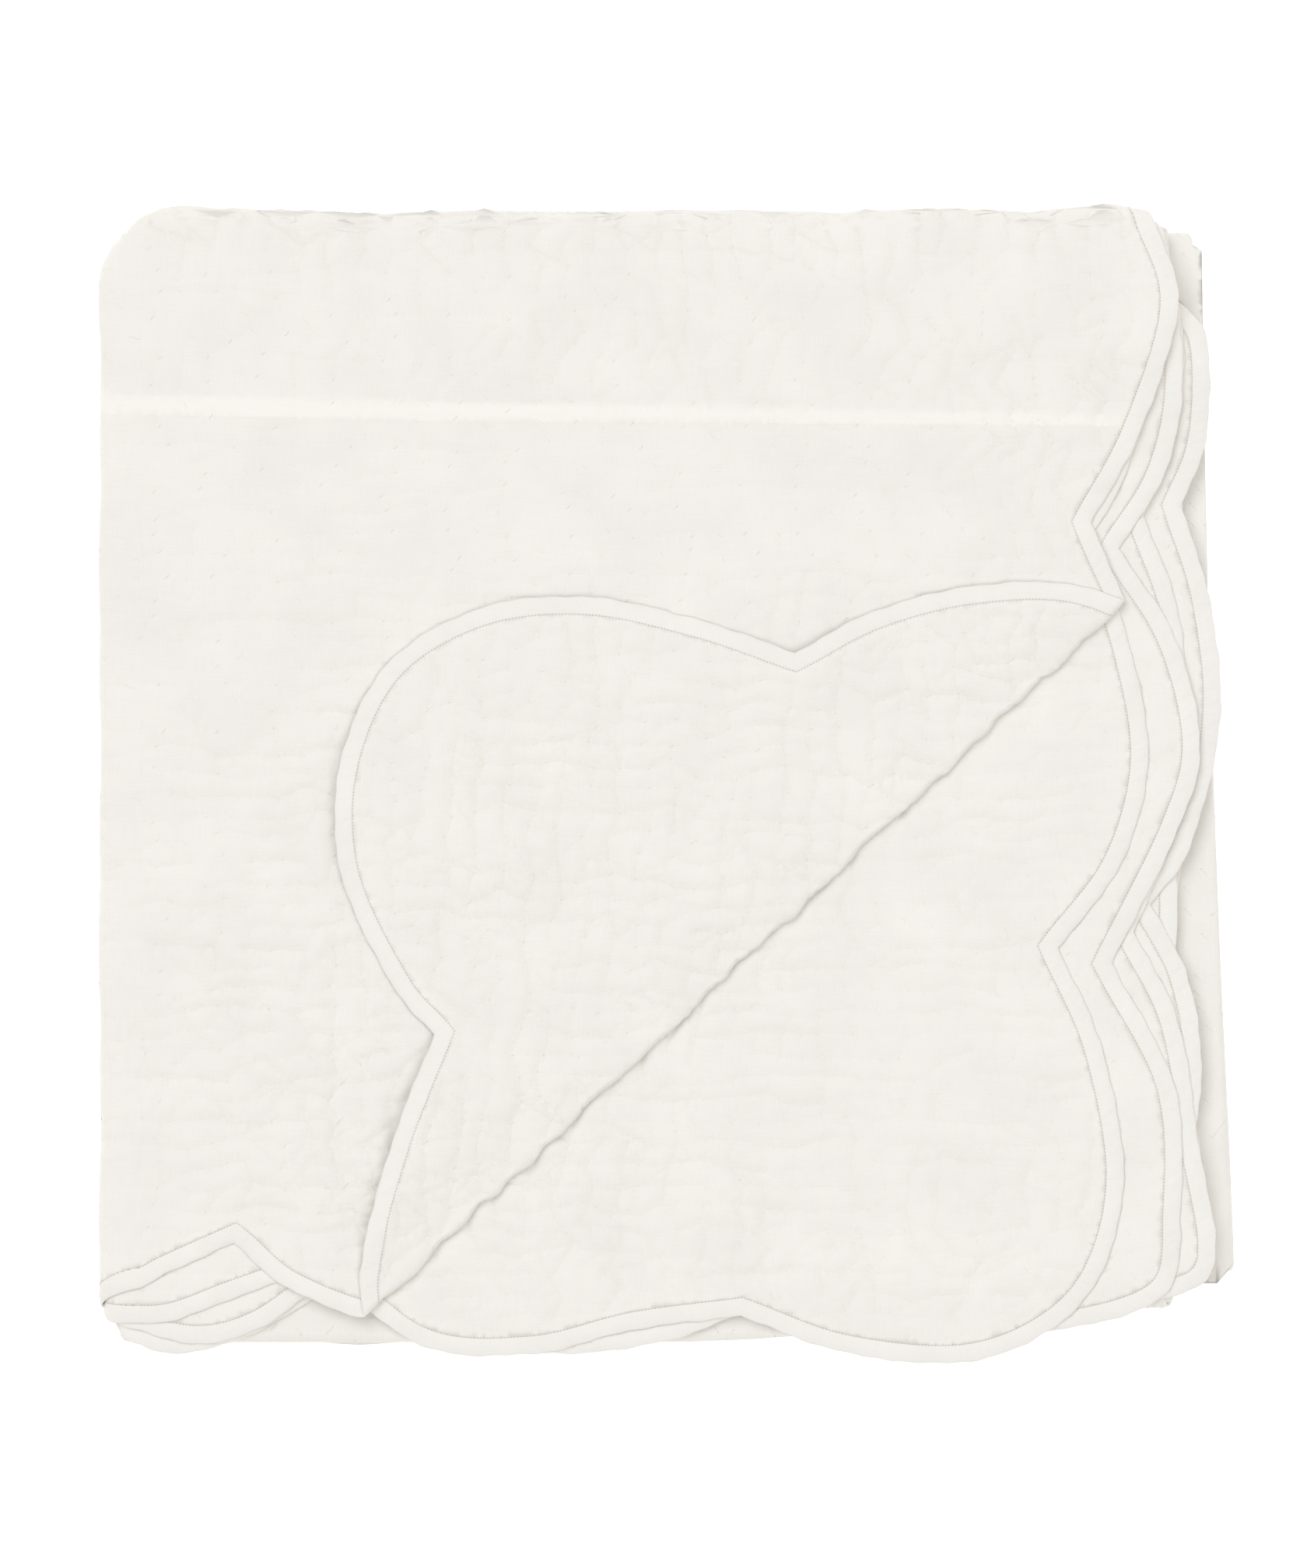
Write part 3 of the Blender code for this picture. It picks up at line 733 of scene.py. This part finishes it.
def clip_lines(ring, folds):
    """Cuts a ring where fold lines cross it. Returns the ring, the straight lines as pairs of its
    points, and the lines of the turned-back corner as (pair, points between)."""
    ahead = np.roll(ring, -1, 0)
    added = {}
    pairs = []
    tests = [(ring[:, axis] - place, axis, place) for axis, place in folds]
    for step in range(FLAP_STEPS + 1):
        tests.append((flap_distance(*ring.T) - FLAP_RUN * step / FLAP_STEPS, None, None))
    for here, axis, place in tests:
        there = np.roll(here, -1)
        spots = []
        for number in np.nonzero((here < 0) != (there < 0))[0]:
            part = here[number] / (here[number] - there[number])
            spot = ring[number] + (ahead[number] - ring[number]) * part
            if axis is None and not top_patch(*spot):
                continue
            spots.append((spot[0 if axis is None else 1 - axis], number, part, spot))
        spots.sort(key=lambda row: row[0])
        for first, second in zip(spots[::2], spots[1::2]):
            inwards = (second[3] - first[3]) / np.hypot(*(second[3] - first[3]))
            both = [first[3] + 0.002 * inwards, second[3] - 0.002 * inwards]
            for spot in both:
                if axis is not None:
                    spot[axis] = place
            pairs.append(((*first[1:3], both[0]), (*second[1:3], both[1]), axis is None))
    for first, second, turned in pairs:
        for number, part, spot in (first, second):
            added.setdefault(number, []).append((part, tuple(spot)))
    result = []
    places = {}
    for number, point in enumerate(ring):
        result.append(tuple(point))
        for part, spot in sorted(added.get(number, [])):
            places[spot] = len(result)
            result.append(spot)
    straight = [(places[tuple(a[2])], places[tuple(b[2])]) for a, b, turned in pairs if not turned]
    chains = []
    for number, (a, b, turned) in enumerate(pairs):
        if turned:
            count = round(math.dist(a[2], b[2]) / 3.4)
            parts = (np.arange(1, count) + 0.25 * (number % 2))[:, None] / count
            chains.append((places[tuple(a[2])], places[tuple(b[2])], a[2] + (b[2] - a[2]) * parts))
    return np.array(result), straight, chains


def face_mesh(ring, ends, chains, points):
    """Triangles of one face of the cloth, and which of its points the ring's are."""
    count = len(ring)
    places = [Vector(place) for place in ring]
    ends = list(ends)
    for first, last, between in chains:
        numbers = [first, *range(len(places), len(places) + len(between)), last]
        places += [Vector(place) for place in between]
        ends += list(zip(numbers, numbers[1:]))
    places += [Vector(place) for place in points]
    out = delaunay_2d_cdt(places, ends, [list(range(count))], 1, 1e-5, True)
    places = np.array([tuple(place) for place in out[0]])
    faces = np.array(out[2])
    numbers = {source: number for number, sources in enumerate(out[3]) for source in sources}
    ring_index = np.array([numbers[source] for source in range(count)])
    centre = places[faces].mean(1)
    faces = faces[points_inside(*centre.T, ring)]
    corner = places[faces]
    turn = np.cross(corner[:, 1] - corner[:, 0], corner[:, 2] - corner[:, 0])
    faces = np.where((turn < 0)[:, None], faces[:, ::-1], faces)
    return places, faces, ring_index


def put_in_scene(name, data):
    """A new object of the scene."""
    made = bpy.data.objects.new(name, data)
    bpy.context.scene.collection.objects.link(made)
    return made


def make_mesh(name, places, faces, attributes, smooth=True):
    """A mesh object from places in millimetres, faces, and named values on its points."""
    mesh = bpy.data.meshes.new(name)
    mesh.from_pydata((places / 1000).tolist(), [], [list(face) for face in faces])
    mesh.update()
    for key, values in attributes.items():
        kind = "FLOAT_VECTOR" if values.ndim == 2 else "FLOAT"
        attribute = mesh.attributes.new(key, kind, "POINT")
        attribute.data.foreach_set("vector" if values.ndim == 2 else "value",
                                   values.astype(np.float32).ravel())
    if smooth:
        mesh.shade_smooth()
    return put_in_scene(name, mesh)


def patches():
    """The quilting of each part of the spread that shows."""
    rest_front = lambda x, y: ~top_patch(x, y)
    rest_back = lambda x, y: ~top_patch(x, y) & ~second_patch(x, y)
    return [
        Quilting(11, 1, PITCH, TOP_PUCKERS, TOP_TROUGHS, top_patch),
        Quilting(12, -1, FLAP_PITCH, FLAP_PUCKERS, FLAP_TROUGHS, top_patch),
        Quilting(13, -1, PITCH, SECOND_PUCKERS, SECOND_TROUGHS, second_patch),
        Quilting(14, 1, PITCH, OTHER_PUCKERS, (), rest_front),
        Quilting(15, -1, PITCH, OTHER_PUCKERS, (), rest_back),
    ]


def relief(quiltings, x, y, edge, shows):
    """How far each point of a face stands out, and how much painted shade it gets in its puckers."""
    height = np.zeros(len(x))
    pucker_shade = np.zeros(len(x))
    for quilting in quiltings:
        mine = np.nonzero(quilting.inside(x, y) & shows)[0]
        height[mine], pucker_shade[mine] = quilting.height(x[mine], y[mine])
    fade = smooth_step((edge - 0.5) / 4)
    return height * fade, pucker_shade * fade


def join_points():
    """Points along the join across the top leaf, on the flat spread."""
    rows = []
    for line in (JOIN_SEAM, JOIN_ALLOWANCE):
        xs = np.arange(line[0][0], line[-1][0], 3.5)
        ys = np.interp(xs, *zip(*line))
        rows += [np.stack(flat_place("top", xs, ys + shift), 1) for shift in (0, 1.3, -1.3)]
    return np.concatenate(rows)


def join_band(x, y, side):
    """How far a place of the top leaf is within the join's allowance, and its seam's groove."""
    pack_x, pack_y = to_pack(x, y)
    low = np.interp(pack_x, *zip(*JOIN_SEAM))
    high = np.interp(pack_x, *zip(*JOIN_ALLOWANCE))
    here = top_patch(x, y) & (side > 0) & (flap_distance(x, y) < 0)
    within = smooth_step((pack_y - low) / 1.3 + 0.2) * smooth_step((high - pack_y) / 1.3 + 0.5)
    groove = np.exp(-((pack_y - low) / 1.0) ** 2)
    return here * within, here * groove


def make_panel(outline, quiltings, seen):
    """The quilted panel, folded, with its seen faces as fine as their quilting."""
    ring = outline + mitres(outline) * BINDING_WIDTH
    folds = straight_folds()
    ring, ends, chains = clip_lines(ring, folds)
    ring = ring.astype(np.float32).astype(float)
    coarse = np.stack(grid(np.arange(-1250, 1250, HIDDEN_SPACING), np.arange(-1330, 1330, HIDDEN_SPACING)), 1)
    close = np.stack(grid(np.arange(630, 1250, 13), np.arange(-1330, -650, 13)), 1)
    close = close[flap_distance(*close.T) > 0]
    total = 0
    every = {key: [] for key in ("places", "faces", "flat", "pucker_shade", "band", "walls")}
    for side in (1, -1):
        mine = [quilting for quilting in quiltings if quilting.side == side]
        points = [line_points(folds, seen, side)] + [join_points()] * (side > 0)
        points += [crease_points(quilting, seen) for quilting in mine]
        points += [puff_points(quilting, seen) for quilting in mine]
        points = thin_out(snap_to_folds(np.concatenate(points + [coarse, close]), folds), LEAST_APART)
        points = points[points_inside(*points.T, ring)]
        points = points[distance_to_ring(*points.T, ring) > 1.2]
        places, faces, ring_index = face_mesh(ring, ends, chains, points)
        x, y = places.T
        edge = distance_to_ring(x, y, ring)
        height, pucker_shade = relief(mine, x, y, edge, seen.test(x, y, side))
        band, groove = join_band(x, y, side)
        height -= 0.15 * groove
        half = EDGE_HALF + (THICKNESS / 2 - EDGE_HALF) * smooth_step(edge / 3)
        every["places"].append(fold_up(x, y, side * (half + height)))
        every["faces"].append((faces if side > 0 else faces[:, ::-1]) + total)
        every["flat"].append(np.stack([x / 1000, y / 1000, np.full(len(x), side * 1.0)], 1))
        # Painted shade along the puckers and along the join's seam groove.
        every["pucker_shade"].append(np.maximum(pucker_shade, 0.65 * groove))
        every["band"].append(band)
        every["walls"].append(ring_index + total)
        total += len(x)
    over, below = every["walls"]
    quads = np.stack([np.roll(over, -1), over, below, np.roll(below, -1)], 1)
    every["faces"].append(np.concatenate([quads[:, [0, 1, 2]], quads[:, [0, 2, 3]]]))
    return make_mesh("quilted_cloth", np.concatenate(every["places"]), np.concatenate(every["faces"]),
                     {key: np.concatenate(every[key]) for key in ("flat", "pucker_shade", "band")})


def halved(outline):
    """The outline with another point in the middle of each short step."""
    middle = (outline + np.roll(outline, -1, 0)) / 2
    span = steps_along(outline)[0]
    both = np.stack([outline, middle], 1).reshape(-1, 2)
    keep = np.stack([span >= 0, (span > 1.6) & (span < 4.5)], 1).ravel()
    return both[keep]


def drag(along):
    """How the binding is pulled into small folds by its stitching."""
    waves = np.sin(along / 0.95 + 2 * np.sin(along / 23))
    waves = waves * (0.5 + 0.5 * np.sin(along / 17 + np.sin(along / 41)))
    return waves + 0.7 * np.sin(along / 2.1 + 3 * np.sin(along / 37)) + 0.5 * np.sin(along / 5.3)


def make_binding(outline):
    """The binding round the scalloped edge, drawn in along its seam and dragged into small folds."""
    outline = halved(outline)
    inwards = mitres(outline)
    along = steps_along(outline)[1][:-1]
    section = [(*row, 1) for row in BINDING_PROFILE] + [(*row, -1) for row in BINDING_PROFILE[:0:-1]]
    notches = along[np.abs(np.hypot(*inwards.T) - 1) > 0.03]
    near = np.abs(along[:, None] - notches).min(1)
    one = np.ones(len(outline))
    tilt = (fold_up(*outline.T, one) - fold_up(*outline.T, -one))[:, 2] / 2
    places = []
    values = []
    for reach, height, side in section:
        bulge = math.sin(math.pi * min(reach / BINDING_WIDTH, 1)) if reach else 0
        puckers = 0.3 * bulge * drag(along + 0.7 * side * reach)
        tuck = bulge * (0.35 * np.exp(-(near / 3) ** 2) - 0.6 * np.exp(-(near / 0.8) ** 2))
        z = side * (height + (puckers + tuck) * (height > 0))
        z -= EDGE_DROP * tilt * math.exp(-(reach / 3) ** 2)
        uneven = 0.35 * np.sin(along / 6.3 + 2 * np.sin(along / 29)) + 0.25 * np.sin(along / 2.6)
        spot = outline + inwards * (reach + (uneven * (1 - reach / BINDING_WIDTH))[:, None] * 0.8)
        places.append(fold_up(*spot.T, z))
        values.append(np.stack([along / 1000, one * reach / 1000, one * side], 1))
    index = np.arange(len(section) * len(outline)).reshape(len(section), len(outline))
    shifts = ((-1, 0), (-1, -1), (0, -1), (0, 0))
    quads = np.stack([np.roll(index, shift, (0, 1)).ravel() for shift in shifts], 1)
    return make_mesh("bound_edge", np.concatenate(places), quads, {"along": np.concatenate(values)})


def capsules(name, start, end, side, lift, width, height):
    """Short threads from start to end, flat on a face of the cloth, as one mesh."""
    middle = (start + end) / 2
    span = end - start
    out = np.stack([-span[:, 1], span[:, 0]], 1) / np.hypot(*span.T)[:, None]
    rings = ((-0.5, 0.25, -0.3), (-0.3, 0.9, 0.75), (0.3, 0.9, 0.75), (0.5, 0.25, -0.3))
    corners = ((1, 0), (0, 1), (-1, 0), (0, -1))
    places = []
    for part, scale, rise in rings:
        for across, up in corners:
            spot = middle + span * part + out * across * scale * width / 2
            places.append(fold_up(*spot.T, side * (lift + height * (rise + 0.5 * up * scale))))
    places = np.stack(places, 1)
    count = len(start)
    pairs = [(ring + corner, ring + (corner + 1) % 4) for ring in (0, 4, 8) for corner in range(4)]
    faces = np.array([[a, b, b + 4, a + 4] for a, b in pairs] + [[3, 2, 1, 0], [12, 13, 14, 15]])
    every = (faces[None] + (np.arange(count) * 16)[:, None, None]).reshape(-1, 4)
    every = np.where(np.repeat(side < 0, len(faces))[:, None], every[:, ::-1], every)
    return make_mesh(name, places.reshape(-1, 3), every, {}, smooth=False)


def stitch_places(quiltings, seen, ring):
    """Both ends of every quilting stitch that shows, its face, and how high the cloth lies there."""
    rows = []
    for quilting in quiltings:
        spot = unwander(np.stack([quilting.x.ravel(), quilting.y.ravel()], 1))
        column = np.repeat(np.arange(quilting.x.shape[0]), quilting.x.shape[1])
        keep = (quilting.kind < STITCHED).ravel() & quilting.inside(*spot.T)
        keep &= seen.test(*spot.T, quilting.side)
        keep[keep] = points_inside(*spot[keep].T, ring)
        keep[keep] = distance_to_ring(*spot[keep].T, ring) > 4
        spot, column = spot[keep], column[keep]
        zigzag = quilting.side > 0
        angle = np.where(column % 2 > 0, -0.8, 0.8) if zigzag else np.full(len(spot), 0.95)
        way = np.stack([np.cos(angle), np.sin(angle)], 1) * STITCH_LENGTH / 2
        height = quilting.height(*spot.T)[0]
        rows.append((spot - way, spot + way, np.full(len(spot), quilting.side), THICKNESS / 2 + height))
    return [np.concatenate(column) for column in zip(*rows)]


def make_threads(ring, quiltings, seen):
    """The quilting stitches, each a short thread lying in its pucker, and dark marks of painted shade in the
    holes they leave.
    """
    start, end, side, lift = stitch_places(quiltings, seen, ring)
    threads = capsules("quilting_thread", start, end, side, lift + 0.14, STITCH_WIDTH, 0.32)
    way = (end - start) / STITCH_LENGTH
    # Painted shade: a dark mark at one end of each stitch, where its hole is.
    hole_shade_marks = capsules("needle_hole_shade", end, end + 0.8 * way, side, lift + 0.12, 0.55, 0.2)
    return threads, hole_shade_marks


def make_seam(outline, seen):
    """The machine stitches that hold the binding, in the ditch along its inner edge, drawn as dark dashes of
    painted shade in their holes.
    """
    line = outline + mitres(outline) * (BINDING_WIDTH + 0.15)
    along = steps_along(line)[1]
    closed = np.concatenate([line, line[:1]])
    starts = np.arange(0, along[-1] - 2, 1.94)
    start, end = [np.stack([np.interp(starts + reach, along, closed[:, axis]) for axis in (0, 1)], 1)
                  for reach in (0.35, 1.15)]
    shows = np.concatenate([seen.test(*((start + end) / 2).T, side) for side in (1, -1)])
    side = np.repeat((1, -1), len(starts))[shows]
    start, end = [np.concatenate([ends, ends])[shows] for ends in (start, end)]
    # Dark dashes: the stitches painted with the shade of their holes in the ditch.
    return capsules("machine_stitches_painted_shade", start, end, side, np.full(len(start), 1.05), 0.4, 0.24)


def new_material(name, roughness):
    """A material and its shader."""
    material = bpy.data.materials.new(name)
    material.use_nodes = True
    shader = material.node_tree.nodes["Principled BSDF"]
    shader.inputs["Roughness"].default_value = roughness
    return material, shader


def add_node(tree, kind, inputs, **settings):
    """A new shader node, with its settings made and its inputs set or linked."""
    node = tree.nodes.new("ShaderNode" + kind)
    for name, value in settings.items():
        setattr(node, name, value)
    for name, value in inputs.items():
        if isinstance(value, bpy.types.NodeSocket):
            tree.links.new(value, node.inputs[name])
        else:
            node.inputs[name].default_value = value
    return node


def mix_colours(tree, first, second, factor):
    """The colour between two others, each a colour or a socket."""
    values = {"A": first, "B": second, "Factor": factor}
    return add_node(tree, "Mix", values, data_type="RGBA").outputs["Result"]


def cloth_material(name, colour, shade_colour):
    """Woven cloth: thread streaks both ways, slight mottling, and painted shade where it is drawn into
    puckers.
    """
    material, shader = new_material(name, 0.88)
    tree = material.node_tree
    shader.inputs["Specular IOR Level"].default_value = 0.2
    kind = "along" if name == "binding_cloth" else "flat"
    place = add_node(tree, "Attribute", {}, attribute_name=kind).outputs["Vector"]
    # The amount of painted shade in the puckers, read from the mesh.
    shade_in_puckers = add_node(tree, "Attribute", {}, attribute_name="pucker_shade").outputs["Fac"]
    band = add_node(tree, "Attribute", {}, attribute_name="band").outputs["Fac"]
    threads = {}
    for number, scale in enumerate(((900, 70, 1), (70, 900, 1))):
        mapped = add_node(tree, "Mapping", {"Scale": scale, "Vector": place}).outputs["Vector"]
        noise = add_node(tree, "TexNoise", {"Scale": 1.0, "Detail": 2.0, "Vector": mapped})
        threads[number] = noise.outputs["Fac"]
    weave = add_node(tree, "Math", threads, operation="ADD").outputs[0]
    mottle = add_node(tree, "TexNoise", {"Scale": 22.0, "Detail": 3.0, "Vector": place}).outputs["Fac"]
    shade = add_node(tree, "Math", {0: weave, 1: 0.35, 2: mottle}, operation="MULTIPLY_ADD").outputs[0]
    faded = add_node(tree, "MapRange", {"From Min": 0.45, "From Max": 1.25, "Value": shade})
    # Painted shade: how far the colour turns toward the dark shade colour in the puckers.
    depth = add_node(tree, "MapRange", {"From Min": 0.3, "To Max": 0.075, "Value": shade_in_puckers})
    darker = (*[value * 0.915 for value in colour], 1)
    lighter = (*[min(value * 1.015, 1) for value in colour], 1)
    tint = mix_colours(tree, (*colour, 1), darker, faded.outputs["Result"])
    tint = mix_colours(tree, tint, (*shade_colour, 1), depth.outputs["Result"])
    tint = mix_colours(tree, tint, lighter, band)
    tree.links.new(tint, shader.inputs["Base Color"])
    bump = add_node(tree, "Bump", {"Strength": 0.5, "Distance": 0.0003, "Height": weave})
    tree.links.new(bump.outputs["Normal"], shader.inputs["Normal"])
    return material


def thread_material(name, colour, darker):
    """A thread, or dark marks of painted shade at stitch holes."""
    material, shader = new_material(name, 0.7)
    tree = material.node_tree
    noise = add_node(tree, "TexNoise", {"Scale": 900.0}).outputs["Fac"]
    tree.links.new(mix_colours(tree, (*colour, 1), (*darker, 1), noise), shader.inputs["Base Color"])
    return material


# Light: warm from all round, and two soft suns, (name, from where, strength)
SKY_COLOUR = (1.0, 0.955, 0.885, 1)
SKY_STRENGTH = 0.53
SUNS = (("key", (-0.42, 0.48, 1), 1.16), ("fill", (0.45, -0.4, 1), 0.75))
SUN_ANGLE = 42
SUN_COLOUR = (0.924, 0.957, 1.033)


def make_studio():
    """A plain white floor, soft light from all round with a little more from the top left."""
    mesh = bpy.data.meshes.new("floor")
    mesh.from_pydata([(-4, -4, 0), (4, -4, 0), (4, 4, 0), (-4, 4, 0)], [], [(0, 1, 2, 3)])
    floor = put_in_scene("floor", mesh)
    material, shader = new_material("floor", 0.9)
    shader.inputs["Base Color"].default_value = (0.96, 0.96, 0.96, 1)
    shader.inputs["Emission Color"].default_value = (1, 1, 1, 1)
    shader.inputs["Emission Strength"].default_value = 0.45
    mesh.materials.append(material)
    world = bpy.data.worlds.new("studio")
    world.use_nodes = True
    sky = world.node_tree.nodes["Background"]
    sky.inputs["Color"].default_value = SKY_COLOUR
    sky.inputs["Strength"].default_value = SKY_STRENGTH
    bpy.context.scene.world = world
    for name, spot, power in SUNS:
        light = bpy.data.lights.new(name, "SUN")
        light.angle = math.radians(SUN_ANGLE)
        light.energy = power
        light.color = SUN_COLOUR
        made = put_in_scene(name, light)
        made.location = spot
        made.rotation_euler = (-Vector(spot)).to_track_quat("-Z", "Y").to_euler()
    view = bpy.context.scene.view_settings
    view.view_transform = "Standard"
    view.look = "None"


# The photograph is 1680 by 2016 pixels at 0.45 mm each, and the pack's middle is at (849.5, 1012)
PIXEL = 0.45
PHOTO_SIZE = (1680, 2016)
PACK_MIDDLE = (849.5, 1012)
LENS = 400.0
SENSOR = 36.0
PACK_HEIGHT = 0.045


def make_camera():
    """Straight above the pack, far off, framed as the photograph is."""
    data = bpy.data.cameras.new("camera")
    data.lens = LENS
    data.sensor_width = SENSOR
    camera = put_in_scene("camera", data)
    camera.location = ((PHOTO_SIZE[0] / 2 - PACK_MIDDLE[0]) * PIXEL / 1000,
                       (PACK_MIDDLE[1] - PHOTO_SIZE[1] / 2) * PIXEL / 1000,
                       PACK_HEIGHT + PHOTO_SIZE[1] * PIXEL / 1000 * LENS / SENSOR)
    data.clip_end = 50
    bpy.context.scene.camera = camera


def main():
    """Builds the scene."""
    outline = refine(spread_outline())
    make_camera()
    make_studio()
    seen = Seen(outline)
    quiltings = patches()
    panel = make_panel(outline, quiltings, seen)
    binding = make_binding(outline)
    ring = outline + mitres(outline) * BINDING_WIDTH
    threads, hole_shade_marks = make_threads(ring, quiltings, seen)
    seam_shade = make_seam(outline, seen)
    # Each cloth's second colour is the painted shade of its puckers.
    panel.data.materials.append(cloth_material("quilted_cloth", (0.926, 0.907, 0.859), (0.66, 0.53, 0.38)))
    binding.data.materials.append(cloth_material("binding_cloth", (0.928, 0.911, 0.867), (0.62, 0.50, 0.36)))
    threads.data.materials.append(thread_material("thread", (0.95, 0.93, 0.88), (0.86, 0.81, 0.72)))
    # The dark hole marks are painted shade in the stitch holes.
    hole_shade_marks.data.materials.append(thread_material("hole_shade", (0.8, 0.72, 0.61), (0.7, 0.6, 0.48)))
    # The stitch line is painted dark: the shade in its holes along the ditch.
    seam_shade.data.materials.append(thread_material("seam_shade", (0.72, 0.59, 0.45), (0.60, 0.47, 0.34)))
    for piece in (panel, binding, threads, hole_shade_marks, seam_shade):
        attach(piece, "root")
    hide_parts("quilted_panel")
    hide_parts("edge_binding")


main()
